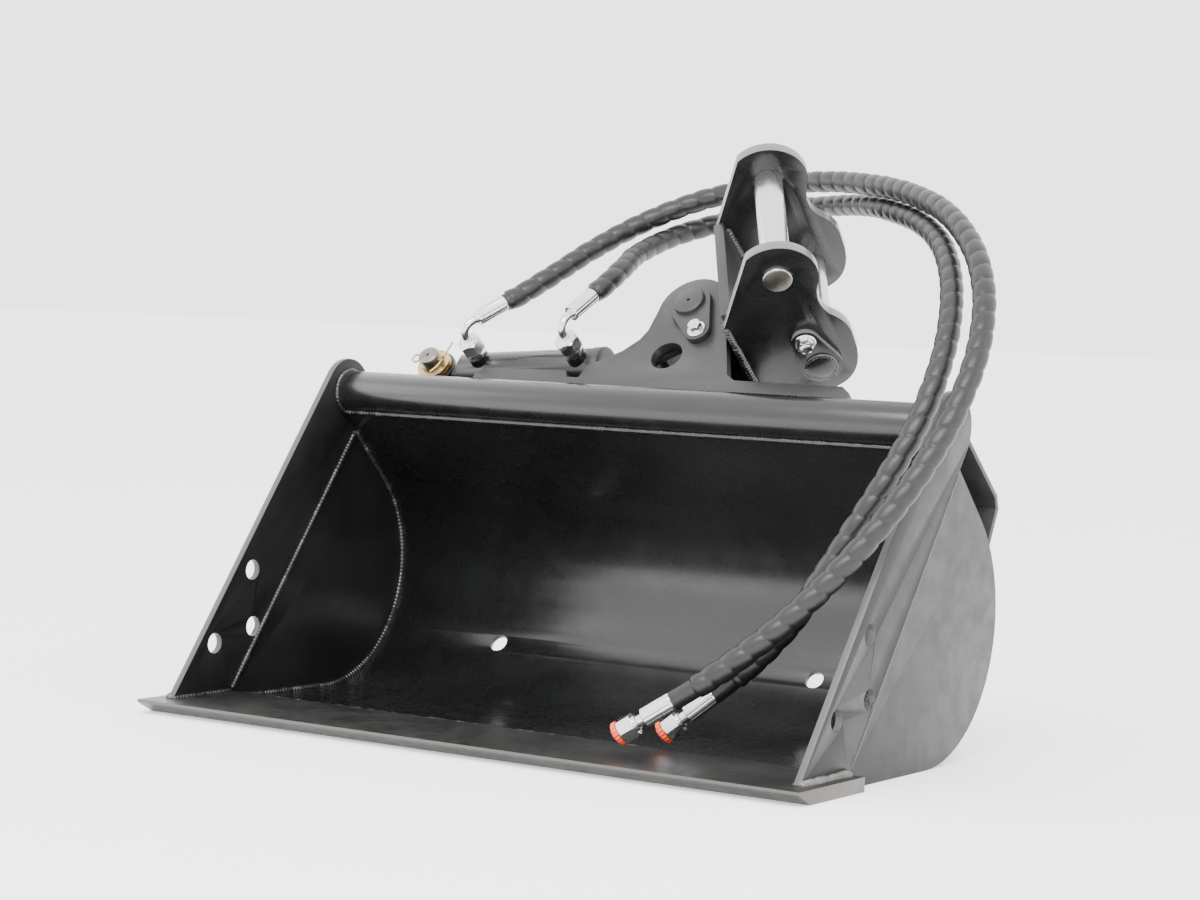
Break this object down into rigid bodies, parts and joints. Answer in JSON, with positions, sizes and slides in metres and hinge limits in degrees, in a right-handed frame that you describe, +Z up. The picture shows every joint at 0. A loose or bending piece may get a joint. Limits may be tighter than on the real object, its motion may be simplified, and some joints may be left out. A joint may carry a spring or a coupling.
{
  "type": "excavator bucket",
  "caption": "Tilting grading bucket with a flat cutting edge, a tilt cylinder, a headstock with two cross pins and a pair of hydraulic hoses.",
  "frame": {"origin": "middle of the base that the bucket stands on, without the free hoses", "axes": "+X along the cutting edge, +Y from the cutting edge to the back, +Z up"},
  "size_m": [0.8746, 0.6741, 0.6495],
  "materials": {
    "black_paint": "satin black paint",
    "graphite_paint": "satin dark gray paint",
    "edge_paint": "thin dark paint over plate steel",
    "bright_steel": "ground steel",
    "zinc": "bright zinc plating",
    "yellow_zinc": "yellow chromate zinc",
    "cap_red": "soft orange-red plastic",
    "hose_guard": "matte spiral-wrapped guard"
  },
  "bodies": {
    "bucket": {"cutting_edge": "edge_paint", "shell": "black_paint", "top_tube": "black_paint", "back_stiffener": "graphite_paint", "side_cutter_left": "graphite_paint", "side_cutter_right": "graphite_paint", "side_plate_left": "graphite_paint", "side_plate_right": "graphite_paint", "bracket_front": "graphite_paint", "bracket_rear": "graphite_paint", "cylinder_lug": "graphite_paint", "tilt_pin": "graphite_paint", "tilt_pin_flag": "graphite_paint", "tilt_flag_bolt": "zinc", "stud_pin": "bright_steel", "stud_washer_1": "yellow_zinc", "stud_washer_2": "yellow_zinc", "split_pin": "yellow_zinc", "port_nut_1": "zinc", "port_nut_2": "zinc", "elbow_1": "zinc", "elbow_2": "zinc", "hose_ferrule_1": "zinc", "hose_ferrule_2": "zinc", "hose_1": "hose_guard", "hose_2": "hose_guard", "hose_end_ferrule_1": "zinc", "hose_end_ferrule_2": "zinc", "hose_end_nut_1": "zinc", "hose_end_nut_2": "zinc", "hose_cap_1": "cap_red", "hose_cap_2": "cap_red"},
    "headstock": {"ear_near": "black_paint", "ear_far": "black_paint", "headstock_base": "graphite_paint", "tilt_hub": "graphite_paint", "arm_plate_1": "graphite_paint", "arm_plate_2": "graphite_paint", "arm_pin_stub_1": "yellow_zinc", "arm_pin_stub_2": "yellow_zinc", "ear_pin_front": "bright_steel", "ear_pin_rear": "bright_steel", "ear_pin_flag": "black_paint", "ear_flag_bolt": "zinc"},
    "barrel": {"cylinder_barrel": "black_paint", "cylinder_gland": "graphite_paint", "port_adapter_1": "zinc", "port_adapter_2": "zinc"},
    "rod": {"cylinder_piston": "bright_steel", "cylinder_rod": "bright_steel", "rod_eye": "graphite_paint", "arm_pin_core": "bright_steel"}
  },
  "joints": [
    {"name": "tilt", "type": "hinge", "parent": "bucket", "child": "headstock", "pos_m": [0, 0.12962, 0.4727], "axis": [0, -0.757, 0.6534], "range_deg": [0, 65]},
    {"name": "barrel_swing", "type": "hinge", "parent": "bucket", "child": "barrel", "pos_m": [-0.328, 0.10942, 0.37125], "axis": [0, -0.757, 0.6534], "range_deg": [-1.81, 0]},
    {"name": "rod_slide", "type": "slide", "parent": "barrel", "child": "rod", "axis": [0.995, 0.0652, 0.0755], "range_m": [0, 0.0801]}
  ],
  "couplings": [
    {"joint": "barrel_swing", "follows": "tilt", "ratio": -0.02772},
    {"joint": "rod_slide", "follows": "tilt", "m_per_rad": 0.070473}
  ]
}
